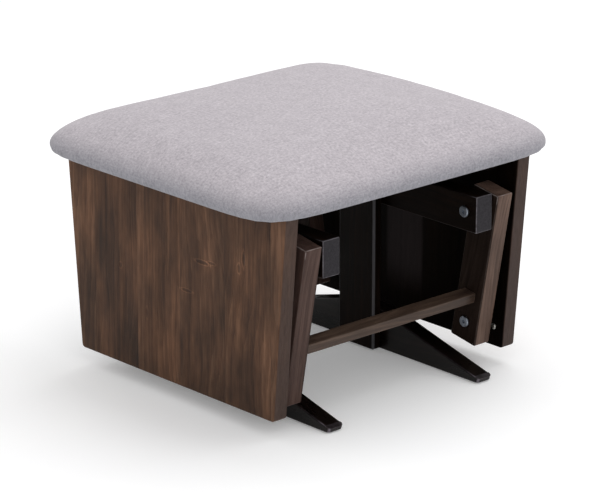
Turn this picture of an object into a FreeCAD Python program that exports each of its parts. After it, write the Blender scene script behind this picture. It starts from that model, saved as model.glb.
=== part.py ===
import FreeCAD, Part
import math
import os
import Sketcher

# Glider ottoman: a padded top on two tapered side panels that swings on four wooden
# links, hung from a fixed base of two sled feet, uprights and top bars.
# Frame: +Z up, origin on the floor under the middle of the ottoman, Y is the direction
# of the glide, X runs from one side panel to the other. Millimetres.

V = FreeCAD.Vector
doc = FreeCAD.newDocument("glider_ottoman")
sheet = doc.addObject("Spreadsheet::Sheet", "Dimensions")


class Q:
    """A number together with the sheet expression that gives it."""

    def __init__(self, v, s):
        self.v = float(v)
        self.s = s

    def __add__(self, o):
        o = q(o)
        return Q(self.v + o.v, "(%s + %s)" % (self.s, o.s))

    __radd__ = __add__

    def __sub__(self, o):
        o = q(o)
        return Q(self.v - o.v, "(%s - %s)" % (self.s, o.s))

    def __rsub__(self, o):
        return q(o) - self

    def __mul__(self, o):
        o = q(o)
        return Q(self.v * o.v, "(%s * %s)" % (self.s, o.s))

    __rmul__ = __mul__

    def __truediv__(self, o):
        o = q(o)
        return Q(self.v / o.v, "(%s / %s)" % (self.s, o.s))

    def __neg__(self):
        return Q(-self.v, "(0 - %s)" % self.s)


def q(o):
    return o if isinstance(o, Q) else Q(o, repr(float(o)))


def root(o):
    return Q(math.sqrt(o.v), "sqrt(%s)" % o.s)


cells = []


def dim(alias, value, note):
    n = len(cells) + 1
    sheet.set("A%d" % n, note)
    sheet.set("B%d" % n, repr(float(value)))
    sheet.setAlias("B%d" % n, alias)
    cells.append(alias)
    return Q(value, "Dimensions." + alias)


# ---------------------------------------------------------------- driving dimensions
panel_out = dim("panel_out", 237.5, "half width over the side panels")
panel_thick = dim("panel_thick", 25, "side panel thickness")
panel_low = dim("panel_low", 28, "height of the panel's lower edge")
panel_high = dim("panel_high", 327.5, "height of the panel's upper edge")
panel_foot = dim("panel_foot", 211, "half length of the panel at the bottom")
panel_head = dim("panel_head", 236.3, "half length of the panel at the top")
panel_corner = dim("panel_corner", 6, "radius of the panel's lower corners")
ease = dim("ease", 2.5, "eased edge radius of large wood parts")
ease_small = dim("ease_small", 1.5, "eased edge radius of thin wood parts")

base_in = dim("base_in", 133, "inner face of foot and top bar")
foot_thick = dim("foot_thick", 28.5, "foot thickness")
foot_half = dim("foot_half", 242, "half length of the foot")
foot_low = dim("foot_low", 2, "underside of the foot, on its glides")
foot_flat = dim("foot_flat", 32, "half length of the foot's flat top")
foot_high = dim("foot_high", 64, "height of the foot's flat top")
foot_mid = dim("foot_mid", 130, "distance of the foot's mid taper point")
foot_mid_high = dim("foot_mid_high", 38, "height at the mid taper point")
foot_nose = dim("foot_nose", 234, "distance where the nose begins")
foot_nose_high = dim("foot_nose_high", 11, "height where the nose begins")
foot_tip_high = dim("foot_tip_high", 7.5, "height of the nose tip")
foot_corner = dim("foot_corner", 6, "plan radius of the nose corners")
glide_dia = dim("glide_dia", 20, "floor glide diameter")
glide_at = dim("glide_at", 200, "distance of the floor glides")

bar_thick = dim("bar_thick", 32, "top bar thickness")
bar_half = dim("bar_half", 232.5, "half length of the top bar")
bar_low = dim("bar_low", 227, "underside of the top bar")
bar_high = dim("bar_high", 282, "upper face of the top bar")

upright_thick = dim("upright_thick", 17, "upright thickness")
upright_half = dim("upright_half", 36, "half width of the upright")
upright_low = dim("upright_low", 3, "lower end of the upright")

slat_thick = dim("slat_thick", 11, "cross slat thickness")
slat_front = dim("slat_front", 90, "outer edge of the cross slat")
slat_back = dim("slat_back", 50, "inner edge of the cross slat")

top_y = dim("top_y", 208.8, "distance of the upper pivots")
top_z = dim("top_z", 256.2, "height of the upper pivots")
low_y = dim("low_y", 175.9, "distance of the lower pivots")
low_z = dim("low_z", 71.9, "height of the lower pivots")
link_in = dim("link_in", 170.5, "inner face of the link")
link_thick = dim("link_thick", 31, "link thickness")
link_wide = dim("link_wide", 50, "link width")
link_over = dim("link_over", 25, "link length above the upper pivot")
link_under = dim("link_under", 31, "link length below the lower pivot")
rail_at = dim("rail_at", 144.4, "rail distance below the upper pivot")
rail_wide = dim("rail_wide", 23, "link rail width")
rail_deep = dim("rail_deep", 15, "link rail thickness")

bolt_dia = dim("bolt_dia", 8, "pivot bolt diameter")
head_dia = dim("head_dia", 17, "pivot bolt head diameter")
head_tall = dim("head_tall", 3.5, "pivot bolt head height")
socket_wide = dim("socket_wide", 5, "width of the hexagon socket")
bush_dia = dim("bush_dia", 12, "bush outer diameter")
bush_bore = dim("bush_bore", 8.1, "bush bore, running on the bolt")
free_bore = dim("free_bore", 15.2, "lower bore of the rear links, around the bush")
bolt_room = dim("bolt_room", 8.4, "bolt hole in wood")
spacer_dia = dim("spacer_dia", 18, "spacer diameter")
side_gap = dim("side_gap", 0.3, "side play at the links")
washer_dia = dim("washer_dia", 16, "washer diameter")
washer_thick = dim("washer_thick", 1.5, "washer thickness")
nut_wide = dim("nut_wide", 13, "nut width across flats")
nut_tall = dim("nut_tall", 6.5, "nut height")
bolt_past = dim("bolt_past", 0.5, "bolt end past the nut")
insert_long = dim("insert_long", 14, "threaded insert length")

screw_dia = dim("screw_dia", 4, "wood screw diameter")
screw_room = dim("screw_room", 4.1, "wood screw hole")
screw_head = dim("screw_head", 9, "wood screw head diameter")
screw_head_tall = dim("screw_head_tall", 2.5, "wood screw head height")
frame_screw_dia = dim("frame_screw_dia", 6, "upright screw diameter")
frame_screw_room = dim("frame_screw_room", 6.1, "upright screw hole")
frame_screw_head = dim("frame_screw_head", 11, "upright screw head diameter")
frame_screw_y = dim("frame_screw_y", 16, "upright screw distance from the middle")
frame_screw_up = dim("frame_screw_up", 254, "height of the upright screws in the bar")
frame_screw_down = dim("frame_screw_down", 38, "height of the upright screws in the foot")
face_screw_y = dim("face_screw_y", 194, "distance of the small panel screw")
face_screw_z = dim("face_screw_z", 59, "height of the small panel screw")

cleat_thick = dim("cleat_thick", 22, "cleat thickness")
cleat_low = dim("cleat_low", 302, "underside of the cleat")
cleat_half = dim("cleat_half", 195, "half length of the cleat")
cleat_screw_z = dim("cleat_screw_z", 314, "height of the cleat screws")
cleat_screw_y = dim("cleat_screw_y", 120, "distance of the outer cleat screws")
deck_screw_near = dim("deck_screw_near", 60, "distance of the inner deck screws")
deck_screw_far = dim("deck_screw_far", 160, "distance of the outer deck screws")
brace_wide = dim("brace_wide", 20, "deck brace width")
brace_low = dim("brace_low", 305, "underside of the deck brace")

pad_low = dim("pad_low", 328, "underside of the padded top")
pad_skin = dim("pad_skin", 1.5, "fabric cover thickness")
deck_low = dim("deck_low", 329.5, "underside of the deck board")
deck_thick = dim("deck_thick", 12, "deck board thickness")
deck_x = dim("deck_x", 262, "half width of the deck board")
deck_y = dim("deck_y", 236, "half depth of the deck board")
deck_corner = dim("deck_corner", 50, "corner radius of the deck board")
hem_x = dim("hem_x", 190, "half width of the opening in the cover's underside")
hem_y = dim("hem_y", 190, "half depth of the opening in the cover's underside")
dust_thick = dim("dust_thick", 1, "dust cover thickness")
dust_y = dim("dust_y", 226, "half depth of the dust cover")
staple_wide = dim("staple_wide", 10, "staple crown width")
staple_wire = dim("staple_wire", 0.8, "staple wire thickness")

# Sections of the padded top: height, half width, half depth, corner radius. The rim is
# widest a little above the underside; above it the top swells to a low crown.
PAD_X, PAD_Y, PAD_R = 287.0, 259.0, 60.0
PAD_RIM, PAD_TOP = 341.0, 401.0
LEVELS = [328.0, 331.0, 335.0, 341.0, 350.8, 360.6, 370.0, 378.8, 386.3, 392.8, 397.7, 400.4, 401.0]
CROWN, SIDE = 1.95, 2.9


def pad_scale(z):
    if z < PAD_RIM:
        k = (PAD_RIM - z) / 14.0
        return 0.965 + 0.035 * math.sqrt(max(0.0, 1 - k * k))
    k = min((z - PAD_RIM) / (PAD_TOP - PAD_RIM), 0.9965)
    return (1 - k**CROWN) ** (1 / SIDE)


def section(tag, i, z, hx, hy, r):
    c = chr(97 + i)
    return (
        dim("%s_z_%s" % (tag, c), round(z, 2), "pad section height"),
        dim("%s_x_%s" % (tag, c), round(hx, 2), "pad section half width"),
        dim("%s_y_%s" % (tag, c), round(hy, 2), "pad section half depth"),
        dim("%s_r_%s" % (tag, c), round(r, 2), "pad section corner radius"),
    )


def pad_profile():
    return [(z, PAD_X * pad_scale(z), PAD_Y * pad_scale(z), PAD_R * (0.35 + 0.65 * pad_scale(z))) for z in LEVELS]


def inset(profile, t, low):
    """The profile moved in by t along its normal, cut off below the height low."""
    pts = []
    for i in range(1, len(profile) - 1):
        (z0, x0, y0, _), (z, x, y, r), (z1, x1, y1, _) = profile[i - 1 : i + 2]
        dx, dz = x1 - x0, z1 - z0
        n = math.hypot(dx, dz)
        pts.append((z + t * dx / n, x - t * dz / n, y - t * dz / n, r))
    pts = [p for p in pts if p[0] > low + 1.0]
    first = pts[0]
    return [(low, first[1] - 2.0, first[2] - 2.0, first[3])] + pts


outer = [section("out", i, *p) for i, p in enumerate(pad_profile())]
inside = [section("lin", i, *p) for i, p in enumerate(inset(pad_profile(), pad_skin.v, deck_low.v))]
filling = [section("fill", i, *p) for i, p in enumerate(inset(pad_profile(), pad_skin.v + 0.35, deck_low.v + 0.3))]

doc.recompute()

# ---------------------------------------------------------------- helpers
exports = []


def keep(obj, label):
    obj.Label = label
    exports.append(obj)
    return obj


def body(name):
    b = doc.addObject("PartDesign::Body", name)
    return b


def plane(b, role):
    for f in b.Origin.OriginFeatures:
        if f.Role == role:
            return f
    raise RuntimeError("no plane " + role)


def sketch(b, name, role, offset=None):
    sk = b.newObject("Sketcher::SketchObject", name)
    sk.AttachmentSupport = [(plane(b, role), "")]
    sk.MapMode = "FlatFace"
    if offset is not None:
        sk.AttachmentOffset = FreeCAD.Placement(V(0, 0, offset.v), FreeCAD.Rotation())
        sk.setExpression("AttachmentOffset.Base.z", offset.s)
    return sk


def pin(sk, geo, pos, x, y):
    """Hold a sketch point at sheet-driven coordinates."""
    x, y = q(x), q(y)
    if abs(x.v) < 1e-9:
        sk.addConstraint(Sketcher.Constraint("PointOnObject", geo, pos, -2))
    else:
        i = sk.addConstraint(Sketcher.Constraint("DistanceX", -1, 1, geo, pos, x.v))
        sk.setExpression("Constraints[%d]" % i, x.s)
    if abs(y.v) < 1e-9:
        sk.addConstraint(Sketcher.Constraint("PointOnObject", geo, pos, -1))
    else:
        i = sk.addConstraint(Sketcher.Constraint("DistanceY", -1, 1, geo, pos, y.v))
        sk.setExpression("Constraints[%d]" % i, y.s)


def polygon(sk, pts):
    pts = [(q(x), q(y)) for x, y in pts]
    ids = []
    for i in range(len(pts)):
        a, b = pts[i], pts[(i + 1) % len(pts)]
        ids.append(sk.addGeometry(Part.LineSegment(V(a[0].v, a[1].v, 0), V(b[0].v, b[1].v, 0)), False))
    for i in range(len(ids)):
        sk.addConstraint(Sketcher.Constraint("Coincident", ids[i - 1], 2, ids[i], 1))
    for i, p in enumerate(pts):
        pin(sk, ids[i], 1, p[0], p[1])
    return ids


def circle(sk, x, y, dia):
    x, y, dia = q(x), q(y), q(dia)
    g = sk.addGeometry(Part.Circle(V(x.v, y.v, 0), V(0, 0, 1), dia.v / 2), False)
    pin(sk, g, 3, x, y)
    i = sk.addConstraint(Sketcher.Constraint("Diameter", g, dia.v))
    sk.setExpression("Constraints[%d]" % i, dia.s)
    return g


def round_rect(sk, hx, hy, r):
    """Rounded rectangle about the sketch origin."""
    x, y, c = hx.v, hy.v, r.v
    lines = []
    for a, b in (
        ((-(x - c), -y), (x - c, -y)),
        ((x, -(y - c)), (x, y - c)),
        ((x - c, y), (-(x - c), y)),
        ((-x, y - c), (-x, -(y - c))),
    ):
        lines.append(sk.addGeometry(Part.LineSegment(V(a[0], a[1], 0), V(b[0], b[1], 0)), False))
    arcs = []
    for cx, cy, a0 in ((x - c, -(y - c), -90), (x - c, y - c, 0), (-(x - c), y - c, 90), (-(x - c), -(y - c), 180)):
        arc = Part.ArcOfCircle(Part.Circle(V(cx, cy, 0), V(0, 0, 1), c), math.radians(a0), math.radians(a0 + 90))
        arcs.append(sk.addGeometry(arc, False))
    for i in range(4):
        sk.addConstraint(Sketcher.Constraint("Tangent", lines[i], 2, arcs[i], 1))
        sk.addConstraint(Sketcher.Constraint("Tangent", arcs[i], 2, lines[(i + 1) % 4], 1))
    sk.addConstraint(Sketcher.Constraint("Horizontal", lines[0]))
    sk.addConstraint(Sketcher.Constraint("Vertical", lines[1]))
    for g in arcs[1:]:
        sk.addConstraint(Sketcher.Constraint("Equal", arcs[0], g))
    i = sk.addConstraint(Sketcher.Constraint("Radius", arcs[0], c))
    sk.setExpression("Constraints[%d]" % i, r.s)
    for geo, pos, kind, val in (
        (lines[1], 1, "DistanceX", hx),
        (lines[3], 1, "DistanceX", -hx),
        (lines[2], 1, "DistanceY", hy),
        (lines[0], 1, "DistanceY", -hy),
    ):
        i = sk.addConstraint(Sketcher.Constraint(kind, -1, 1, geo, pos, val.v))
        sk.setExpression("Constraints[%d]" % i, val.s)


def pad(b, sk, length, name="Pad", back=False):
    length = q(length)
    p = b.newObject("PartDesign::Pad", name)
    p.Profile = sk
    p.Length = length.v
    p.setExpression("Length", length.s)
    p.Reversed = back
    doc.recompute()
    return p


def pocket(b, sk, length, name="Pocket", back=False):
    before = b.Shape.Volume
    length = q(length)
    p = b.newObject("PartDesign::Pocket", name)
    p.Profile = sk
    p.Length = length.v
    p.setExpression("Length", length.s)
    p.Reversed = back
    doc.recompute()
    if b.Shape.Volume > before - 0.5:
        raise RuntimeError("%s in %s cut nothing" % (name, b.Label))
    return p


def fillet(b, feature, edges, radius, name="Fillet"):
    if not edges:
        raise RuntimeError("no edges for %s in %s" % (name, b.Label))
    f = b.newObject("PartDesign::Fillet", name)
    f.Base = (feature, edges)
    f.Radius = radius.v
    f.setExpression("Radius", radius.s)
    doc.recompute()
    return f


def edge_names(shape, test):
    return ["Edge%d" % (i + 1) for i, e in enumerate(shape.Edges) if test(e)]


def small_circle(e, limit=9.5):
    c = getattr(e, "Curve", None)
    return isinstance(c, Part.Circle) and c.Radius < limit


def along(e, axis):
    if not isinstance(e.Curve, Part.Line):
        return False
    d = e.Curve.Direction
    return abs(abs((d.x, d.y, d.z)[axis]) - 1) < 1e-6


def place(obj, x=0, y=0, z=0, axis=None, angle=None):
    x, y, z = q(x), q(y), q(z)
    rot = FreeCAD.Rotation() if axis is None else FreeCAD.Rotation(axis, q(angle).v)
    obj.Placement = FreeCAD.Placement(V(x.v, y.v, z.v), rot)
    obj.setExpression("Placement.Base.x", x.s)
    obj.setExpression("Placement.Base.y", y.s)
    obj.setExpression("Placement.Base.z", z.s)
    if isinstance(angle, Q):
        obj.setExpression("Placement.Rotation.Angle", angle.s)


def mirror(src, name, normal):
    m = doc.addObject("Part::Mirroring", name)
    m.Source = src
    m.Base = V(0, 0, 0)
    m.Normal = normal
    return m


def mirror_x(src, name):
    return mirror(src, name, V(1, 0, 0))


def mirror_y(src, name):
    return mirror(src, name, V(0, 1, 0))


def group(name, label, members):
    c = doc.addObject("Part::Compound", name)
    c.Links = members
    return keep(c, label)


def four(src, name, label):
    """The same piece at all four corners, as separate solids."""
    a = mirror_x(src, name + "_b")
    return group(name + "_set", label, [src, a, mirror_y(src, name + "_c"), mirror_y(a, name + "_d")])


def pair(src, name, label):
    return group(name + "_set", label, [src, mirror_x(src, name + "_b")])


def turned(name, profile):
    """A turned piece on the X axis: (x, radius) points closed along the axis."""
    b = body(name)
    sk = sketch(b, name + "_profile", "XY_Plane")
    polygon(sk, profile)
    r = b.newObject("PartDesign::Revolution", name + "_turn")
    r.Profile = sk
    r.ReferenceAxis = (sk, ["H_Axis"])
    r.Angle = 360
    doc.recompute()
    return b


def ring(name, long, dia, bore):
    b = body(name)
    sk = sketch(b, name + "_ring", "YZ_Plane")
    circle(sk, 0, 0, dia)
    circle(sk, 0, 0, bore)
    pad(b, sk, long, name + "_pad")
    return b


def pan_screw(name, dia, head, head_tall_, long):
    """Screw along +X: head under x = 0, shank from 0 to long with a short point."""
    hr = head / 2
    sr = dia / 2
    return turned(
        name,
        [
            (-head_tall_, 0),
            (-head_tall_, hr * 0.62),
            (head_tall_ * -0.45, hr),
            (0, hr),
            (0, sr),
            (long - dia, sr),
            (long, sr * 0.25),
            (long, 0),
        ],
    )


panel_in = panel_out - panel_thick
bar_out = base_in + bar_thick
foot_out = base_in + foot_thick
link_out = link_in + link_thick
link_len = root((top_y - low_y) * (top_y - low_y) + (top_z - low_z) * (top_z - low_z))
lean_v = math.degrees(math.atan((top_y.v - low_y.v) / (top_z.v - low_z.v)))
lean = Q(lean_v, "atan(%s / %s)" % ((top_y - low_y).s, (top_z - low_z).s))
lean_back = Q(-lean_v, "(0 deg - atan(%s / %s))" % ((top_y - low_y).s, (top_z - low_z).s))

# ---------------------------------------------------------------- side panels
panel = body("SidePanel")
sk = sketch(panel, "SidePanel_outline", "YZ_Plane")
polygon(sk, [(-panel_foot, panel_low), (panel_foot, panel_low), (panel_head, panel_high), (-panel_head, panel_high)])
p = pad(panel, sk, panel_thick, "SidePanel_board")
f = fillet(panel, p, edge_names(p.Shape, lambda e: along(e, 0) and e.CenterOfMass.z < panel_low.v + 1), panel_corner, "SidePanel_corners")
f = fillet(panel, f, edge_names(f.Shape, lambda e: not along(e, 0) and e.CenterOfMass.z < panel_high.v - 1), ease, "SidePanel_ease")
sk = sketch(panel, "SidePanel_insert_bores", "YZ_Plane")
for sy in (-1, 1):
    circle(sk, low_y * sy, low_z, bush_dia + 0.1)
pocket(panel, sk, insert_long + 1, "SidePanel_insert_pockets", back=True)
sk = sketch(panel, "SidePanel_screw_bores", "YZ_Plane")
for sy in (-1, 1):
    circle(sk, face_screw_y * sy, face_screw_z, screw_room)
    circle(sk, cleat_screw_y * sy, cleat_screw_z, screw_room)
circle(sk, 0, cleat_screw_z, screw_room)
pocket(panel, sk, 13, "SidePanel_screw_pockets", back=True)
place(panel, panel_in, 0, 0)
keep(panel, "right_side_panel")
keep(mirror_x(panel, "SidePanel_left"), "left_side_panel")

# ---------------------------------------------------------------- base: feet, uprights, bars, slats
foot = body("Foot")
sk = sketch(foot, "Foot_outline", "YZ_Plane")
half = [
    (foot_half - 2, foot_low),
    (foot_half, foot_tip_high),
    (foot_nose, foot_nose_high),
    (foot_mid, foot_mid_high),
    (foot_flat, foot_high),
]
polygon(sk, half + [(-x, z) for x, z in reversed(half)])
for sy in (-1, 1):
    circle(sk, frame_screw_y * sy, frame_screw_down, frame_screw_room)
p = pad(foot, sk, foot_thick, "Foot_board")
f = fillet(
    foot,
    p,
    edge_names(p.Shape, lambda e: not along(e, 0) and abs(e.CenterOfMass.y) > foot_nose.v + 4.5 and e.CenterOfMass.z < foot_tip_high.v),
    foot_corner,
    "Foot_nose_corners",
)
f = fillet(
    foot,
    f,
    edge_names(f.Shape, lambda e: isinstance(e.Curve, Part.Line) and not along(e, 0) and e.CenterOfMass.z > foot_nose_high.v + 3),
    ease,
    "Foot_ease",
)
place(foot, base_in, 0, 0)
keep(foot, "right_foot")
keep(mirror_x(foot, "Foot_left"), "left_foot")

glide = doc.addObject("Part::Cylinder", "Glide")
glide.Radius = glide_dia.v / 2
glide.setExpression("Radius", (glide_dia / 2).s)
glide.Height = foot_low.v
glide.setExpression("Height", foot_low.s)
place(glide, base_in + foot_thick / 2, -glide_at, 0)
four(glide, "Glide", "floor_glides")

bar = body("TopBar")
sk = sketch(bar, "TopBar_outline", "YZ_Plane")
polygon(sk, [(-bar_half, bar_low), (bar_half, bar_low), (bar_half, bar_high), (-bar_half, bar_high)])
for sy in (-1, 1):
    circle(sk, top_y * sy, top_z, bolt_room)
    circle(sk, frame_screw_y * sy, frame_screw_up, frame_screw_room)
p = pad(bar, sk, bar_thick, "TopBar_board")
f = fillet(bar, p, edge_names(p.Shape, lambda e: isinstance(e.Curve, Part.Line)), ease, "TopBar_ease")
slat_sk = sketch(bar, "TopBar_slat_bores", "XY_Plane", bar_high)
for y in (slat_front - 11, slat_back + 11):
    for sy in (-1, 1):
        circle(slat_sk, bar_thick / 2, y * sy, screw_room)
pocket(bar, slat_sk, 26, "TopBar_slat_pockets")
place(bar, base_in, 0, 0)
keep(bar, "right_top_bar")
keep(mirror_x(bar, "TopBar_left"), "left_top_bar")

upright = body("Upright")
sk = sketch(upright, "Upright_outline", "YZ_Plane")
polygon(sk, [(-upright_half, upright_low), (upright_half, upright_low), (upright_half, bar_high), (-upright_half, bar_high)])
p = pad(upright, sk, upright_thick, "Upright_board")
f = fillet(upright, p, edge_names(p.Shape, lambda e: not along(e, 0)), ease_small, "Upright_ease")
sk = sketch(upright, "Upright_bores", "YZ_Plane", upright_thick)
for sy in (-1, 1):
    circle(sk, frame_screw_y * sy, frame_screw_up, frame_screw_room)
    circle(sk, frame_screw_y * sy, frame_screw_down, frame_screw_room)
pocket(upright, sk, 8.5, "Upright_pockets")
place(upright, base_in - upright_thick, 0, 0)
keep(upright, "right_upright")
keep(mirror_x(upright, "Upright_left"), "left_upright")

bar_screw = pan_screw("BarScrew", frame_screw_dia, frame_screw_head, q(2.8), bar_thick + 8)
place(bar_screw, bar_out, -frame_screw_y, frame_screw_up, V(0, 0, 1), 180)
foot_screw = pan_screw("FootScrew", frame_screw_dia, frame_screw_head, q(2.8), foot_thick + 8)
place(foot_screw, foot_out, -frame_screw_y, frame_screw_down, V(0, 0, 1), 180)
four(bar_screw, "BarScrew", "bar_upright_screws")
four(foot_screw, "FootScrew", "foot_upright_screws")

slat = body("CrossSlat")
sk = sketch(slat, "CrossSlat_outline", "XY_Plane", bar_high)
polygon(sk, [(-bar_out, -slat_front), (bar_out, -slat_front), (bar_out, -slat_back), (-bar_out, -slat_back)])
for sx in (-1, 1):
    for y in (slat_front - 11, slat_back + 11):
        circle(sk, (bar_out - bar_thick / 2) * sx, -y, screw_room)
p = pad(slat, sk, slat_thick, "CrossSlat_board")
f = fillet(slat, p, edge_names(p.Shape, lambda e: isinstance(e.Curve, Part.Line)), ease_small, "CrossSlat_ease")
place(slat, 0, 0, 0)
keep(slat, "front_cross_slat")
keep(mirror_y(slat, "CrossSlat_rear"), "rear_cross_slat")

slat_screw_a = pan_screw("SlatScrew", screw_dia, screw_head, screw_head_tall, slat_thick + 25)
place(slat_screw_a, bar_out - bar_thick / 2, -(slat_front - 11), bar_high + slat_thick, V(0, 1, 0), 90)
slat_screw_b = pan_screw("SlatScrewInner", screw_dia, screw_head, screw_head_tall, slat_thick + 25)
place(slat_screw_b, bar_out - bar_thick / 2, -(slat_back + 11), bar_high + slat_thick, V(0, 1, 0), 90)
four(slat_screw_a, "SlatScrew", "outer_slat_screws")
four(slat_screw_b, "SlatScrewInner", "inner_slat_screws")


# ---------------------------------------------------------------- swinging links and their rails
def link(name, low_bore):
    """Upper pivot at the body's origin, lower pivot straight down its own Z axis."""
    b = body(name)
    sk = sketch(b, name + "_outline", "YZ_Plane")
    w = link_wide / 2
    polygon(sk, [(-w, -(link_len + link_under)), (w, -(link_len + link_under)), (w, link_over), (-w, link_over)])
    circle(sk, 0, 0, bush_dia)
    circle(sk, 0, -link_len, low_bore)
    circle(sk, 0, -rail_at, screw_room)
    p = pad(b, sk, link_thick, name + "_board")
    fillet(b, p, edge_names(p.Shape, lambda e: isinstance(e.Curve, Part.Line)), ease, name + "_ease")
    return b


front_link = link("FrontLink", bush_dia)
place(front_link, link_in, -top_y, top_z, V(1, 0, 0), lean)
keep(front_link, "front_right_link")
keep(mirror_x(front_link, "FrontLink_left"), "front_left_link")

rear_link = link("RearLink", free_bore)
place(rear_link, link_in, top_y, top_z, V(-1, 0, 0), lean)
keep(rear_link, "rear_right_link")
keep(mirror_x(rear_link, "RearLink_left"), "rear_left_link")

rail = body("LinkRail")
sk = sketch(rail, "LinkRail_outline", "YZ_Plane", -link_in)
w, t = rail_wide / 2, rail_deep / 2
polygon(sk, [(-w, -rail_at - t), (w, -rail_at - t), (w, -rail_at + t), (-w, -rail_at + t)])
p = pad(rail, sk, link_in * 2, "LinkRail_board")
f = fillet(rail, p, edge_names(p.Shape, lambda e: along(e, 0)), ease_small, "LinkRail_ease")
for i, off in enumerate((-link_in, link_in)):
    sk = sketch(rail, "LinkRail_bore%d" % i, "YZ_Plane", off)
    circle(sk, 0, -rail_at, screw_room)
    pocket(rail, sk, 31, "LinkRail_pocket%d" % i, back=(i == 0))
place(rail, 0, -top_y, top_z, V(1, 0, 0), lean)
keep(rail, "front_link_rail")
keep(mirror_y(rail, "LinkRail_rear"), "rear_link_rail")

rail_y = (top_y - low_y) * rail_at / link_len
rail_z = (top_z - low_z) * rail_at / link_len
rail_screw = pan_screw("RailScrew", screw_dia, screw_head, screw_head_tall, link_thick + 30)
place(rail_screw, link_out, -top_y + rail_y, top_z - rail_z, V(0, 0, 1), 180)
pair(rail_screw, "RailScrew", "front_rail_screws")
rail_screw_r = mirror_y(rail_screw, "RailScrew_rear")
pair(rail_screw_r, "RailScrewRear", "rear_rail_screws")

bush = ring("Bush", link_thick, bush_dia, bush_bore)
place(bush, link_in, -top_y, top_z)
bush_low = ring("BushLow", link_thick, bush_dia, bush_bore)
place(bush_low, link_in, -low_y, low_z)
group("FrontBush_set", "front_link_bushes", [bush, mirror_x(bush, "Bush_b"), bush_low, mirror_x(bush_low, "BushLow_b")])
bush_rear = mirror_y(bush, "BushRear")
group("RearBush_set", "rear_upper_bushes", [bush_rear, mirror_x(bush_rear, "BushRear_b")])
free_bush = ring("FreeBush", link_thick, bush_dia, bush_bore - 0.05)
place(free_bush, link_in, low_y, low_z)
pair(free_bush, "FreeBush", "rear_lower_bushes")


# ---------------------------------------------------------------- pivot bolts and their hardware
def pivot_bolt(name, long):
    """Flat round head under x = 0 with a hexagon socket, shank from 0 to long."""
    hr = head_dia / 2
    br = bolt_dia / 2
    b = turned(
        name,
        [
            (-head_tall, 0),
            (-head_tall, hr - 1.2),
            (-head_tall + 0.5, hr - 0.35),
            (-head_tall + 1.2, hr),
            (-0.4, hr),
            (0, hr - 0.3),
            (0, br),
            (long - 1, br),
            (long, br - 1),
            (long, 0),
        ],
    )
    sk = sketch(b, name + "_socket", "YZ_Plane", -head_tall)
    r = socket_wide / math.sqrt(3)
    polygon(sk, [(r * math.cos(math.radians(60 * i + 30)), r * math.sin(math.radians(60 * i + 30))) for i in range(6)])
    pocket(b, sk, 2.2, name + "_recess", back=True)
    return b


washer_at = link_out + side_gap
upper_long = washer_at + washer_thick + nut_tall + bolt_past - base_in
upper_bolt = pivot_bolt("UpperBolt", upper_long)
place(upper_bolt, base_in, -top_y, top_z)
four(upper_bolt, "UpperBolt", "upper_pivot_bolts")

upper_spacer = ring("UpperSpacer", link_in - side_gap - bar_out, spacer_dia, bolt_dia + 0.2)
place(upper_spacer, bar_out, -top_y, top_z)
four(upper_spacer, "UpperSpacer", "upper_spacers")

washer = ring("Washer", washer_thick, washer_dia, bolt_dia + 0.2)
place(washer, washer_at, -top_y, top_z)
four(washer, "Washer", "upper_washers")

nut = body("Nut")
sk = sketch(nut, "Nut_hexagon", "YZ_Plane")
r = nut_wide / math.sqrt(3)
polygon(sk, [(r * math.cos(math.radians(60 * i)), r * math.sin(math.radians(60 * i))) for i in range(6)])
circle(sk, 0, 0, bolt_dia + 0.05)
pad(nut, sk, nut_tall - 1.5, "Nut_block")
sk = sketch(nut, "Nut_collar_ring", "YZ_Plane", nut_tall - 1.5)
circle(sk, 0, 0, nut_wide - 1.2)
circle(sk, 0, 0, bolt_dia + 0.05)
pad(nut, sk, 1.5, "Nut_collar")
place(nut, washer_at + washer_thick, -top_y, top_z)
four(nut, "Nut", "upper_lock_nuts")

lower_bolt = pivot_bolt("LowerBolt", panel_in + insert_long - 1 - (link_in - side_gap))
place(lower_bolt, link_in - side_gap, -low_y, low_z)
four(lower_bolt, "LowerBolt", "lower_pivot_bolts")

lower_spacer = ring("LowerSpacer", panel_in - link_out - side_gap, spacer_dia, bolt_dia + 0.2)
place(lower_spacer, link_out + side_gap, -low_y, low_z)
four(lower_spacer, "LowerSpacer", "lower_spacers")

insert = ring("PanelInsert", insert_long, bush_dia, bolt_dia + 0.05)
place(insert, panel_in, -low_y, low_z)
four(insert, "PanelInsert", "panel_inserts")

face_screw = pan_screw("FaceScrew", screw_dia, screw_head, screw_head_tall, q(12))
place(face_screw, panel_in, -face_screw_y, face_screw_z)
four(face_screw, "FaceScrew", "panel_face_screws")

# ---------------------------------------------------------------- padded top and what holds it
cleat = body("Cleat")
sk = sketch(cleat, "Cleat_outline", "YZ_Plane")
polygon(sk, [(-cleat_half, cleat_low), (cleat_half, cleat_low), (cleat_half, panel_high), (-cleat_half, panel_high)])
for y in (-cleat_screw_y, q(0), cleat_screw_y):
    circle(sk, y, cleat_screw_z, screw_room)
p = pad(cleat, sk, cleat_thick, "Cleat_board")
f = fillet(cleat, p, edge_names(p.Shape, lambda e: along(e, 1)), ease_small, "Cleat_ease")
sk = sketch(cleat, "Cleat_deck_bores", "XY_Plane", cleat_low)
for sy in (-1, 1):
    for y in (deck_screw_near, deck_screw_far):
        circle(sk, cleat_thick / 2, y * sy, screw_room)
pocket(cleat, sk, panel_high - cleat_low + 1, "Cleat_deck_pockets", back=True)
place(cleat, panel_in - cleat_thick, 0, 0)
keep(cleat, "right_cleat")
keep(mirror_x(cleat, "Cleat_left"), "left_cleat")

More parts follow.
